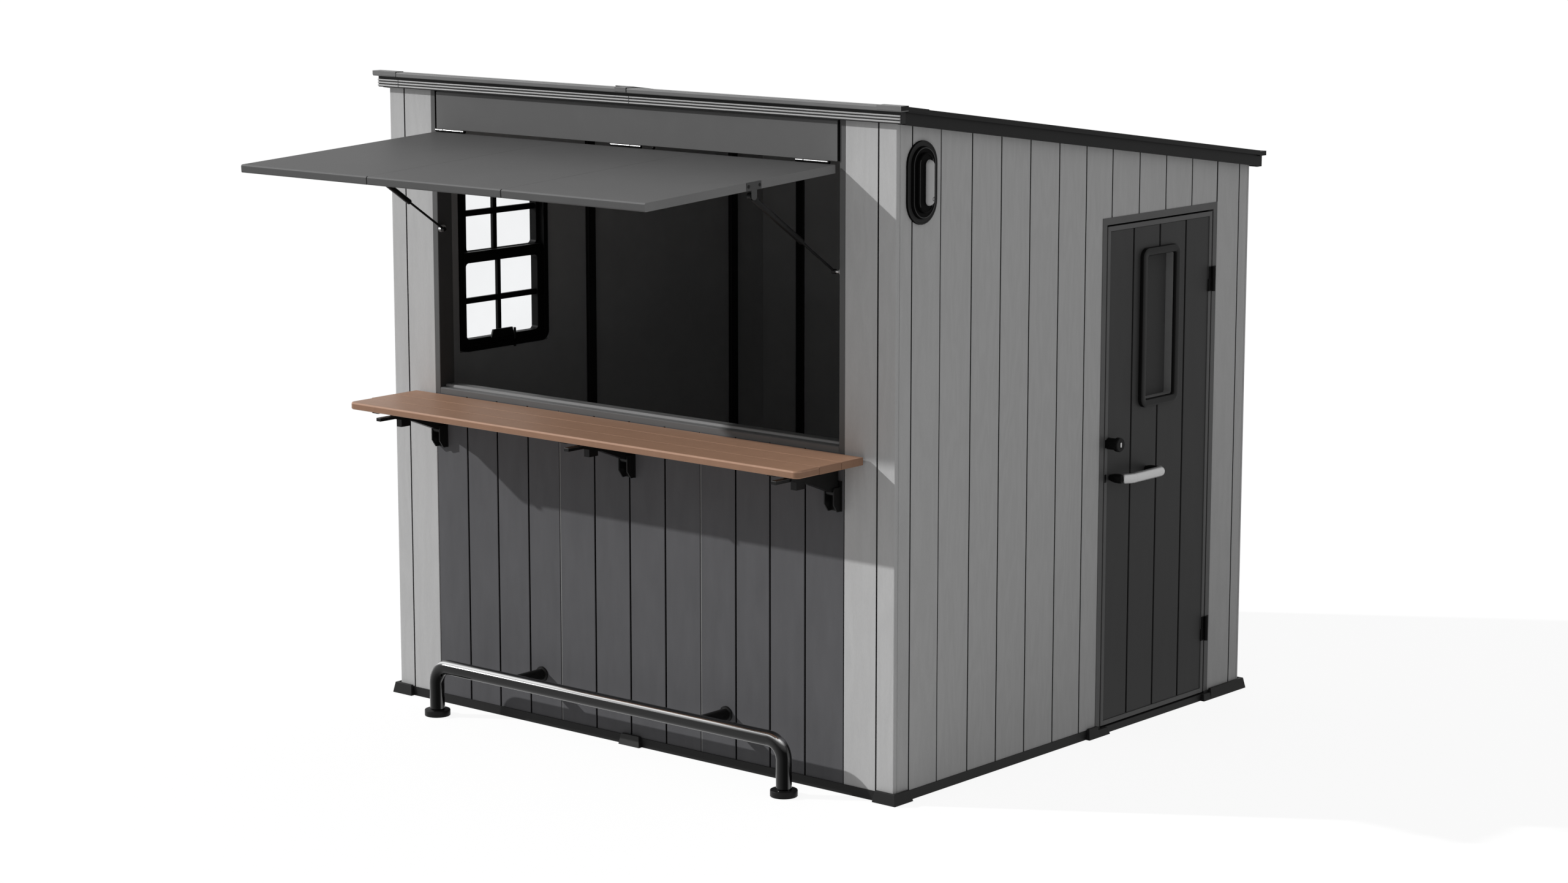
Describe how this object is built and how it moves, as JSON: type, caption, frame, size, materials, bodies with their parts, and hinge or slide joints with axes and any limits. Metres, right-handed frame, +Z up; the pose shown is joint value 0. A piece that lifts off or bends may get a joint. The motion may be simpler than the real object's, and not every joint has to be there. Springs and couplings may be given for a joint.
{
  "type": "street kiosk",
  "caption": "Small walk-in street kiosk with a lean-to roof, open serving hatch under a strutted awning flap, brown folding counter, foot rail and side door",
  "frame": {"origin": "on the ground under the middle of the walls", "axes": "+Z up, -Y out of the serving hatch, +X towards the wall with the door"},
  "size_m": [2.4065, 2.9479, 2.245],
  "materials": {
    "base_plastic": "dark moulded base",
    "corner_panel": "pale embossed panel",
    "front_boards": "dark grooved boards",
    "wall_boards": "grey embossed boards",
    "hatch_frame": "dark grey trim",
    "door_frame": "dark grey painted frame",
    "roof_sheet": "dark grey sheet",
    "fascia_metal": "dark fascia with bright ridges",
    "black_frame": "black moulding",
    "window_glass": "clear pane",
    "lamp_lens": "pale lens",
    "bright_steel": "bright plated steel",
    "rail_steel": "polished dark steel tube",
    "black_metal": "black painted steel",
    "door_boards": "dark grooved boards",
    "flap_board": "grey grooved boards",
    "counter_wood": "brown planks"
  },
  "bodies": {
    "building": {"floor_panel": "base_plastic", "base_front": "base_plastic", "base_right": "base_plastic", "base_rear": "base_plastic", "base_left": "base_plastic", "base_feet": "base_plastic", "corner_front_left": "corner_panel", "corner_front_right": "corner_panel", "corner_rear_left": "corner_panel", "corner_rear_right": "corner_panel", "front_lower_wall": "front_boards", "right_wall_panel": "wall_boards", "door_wall_strip": "wall_boards", "door_wall_over": "wall_boards", "left_wall_window_panel": "wall_boards", "left_wall_rear_panel": "wall_boards", "rear_wall": "wall_boards", "hatch_jambs": "hatch_frame", "hatch_sill": "hatch_frame", "hatch_header": "hatch_frame", "door_jambs": "door_frame", "door_head": "door_frame", "roof_panel": "roof_sheet", "roof_seam_strip": "roof_sheet", "front_fascia": "fascia_metal", "rear_fascia": "fascia_metal", "right_fascia": "fascia_metal", "left_fascia": "fascia_metal", "window_frame": "black_frame", "window_glass": "window_glass", "wall_light_housing": "black_frame", "wall_light_lens": "lamp_lens", "flap_hinge_fixed": "bright_steel", "strut_studs": "bright_steel", "counter_wall_plates": "black_metal", "foot_rail": "rail_steel", "foot_rail_discs": "black_metal", "door_hinge_fixed": "black_metal"},
    "door": {"door_leaf": "door_boards", "door_window_rim": "black_frame", "door_window_glass": "window_glass", "door_handle_bar": "bright_steel", "door_handle_legs": "black_metal", "door_lock": "black_metal", "door_hinge_moving": "black_metal"},
    "flap": {"awning_flap": "flap_board", "flap_hinge_moving": "bright_steel", "flap_strut_brackets": "bright_steel"},
    "strut_left": {"strut_left": "black_metal"},
    "strut_right": {"strut_right": "black_metal"},
    "counter": {"counter_planks": "counter_wood", "counter_arms": "black_metal"}
  },
  "joints": [
    {"name": "door_swing", "type": "hinge", "parent": "building", "child": "door", "pos_m": [1.15, 0.772, 0], "axis": [0, 0, 1], "range_deg": [0, 110]},
    {"name": "flap_swing", "type": "hinge", "parent": "building", "child": "flap", "pos_m": [0, -1.0135, 2.049], "axis": [1, 0, 0], "range_deg": [0, 86.95]},
    {"name": "strut_left_fold", "type": "hinge", "parent": "flap", "child": "strut_left", "pos_m": [-0.884, -1.4072, 1.97645], "axis": [1, 0, 0], "range_deg": [-133, 1]},
    {"name": "strut_right_fold", "type": "hinge", "parent": "flap", "child": "strut_right", "pos_m": [0.884, -1.4072, 1.97645], "axis": [1, 0, 0], "range_deg": [-133, 1]},
    {"name": "counter_fold", "type": "hinge", "parent": "building", "child": "counter", "pos_m": [0, -1.027, 0.997], "axis": [1, 0, 0], "range_deg": [0, 90]}
  ],
  "couplings": [
    {"joint": "strut_left_fold", "follows": "flap_swing", "ratio": -1.507},
    {"joint": "strut_right_fold", "follows": "flap_swing", "ratio": -1.507}
  ]
}
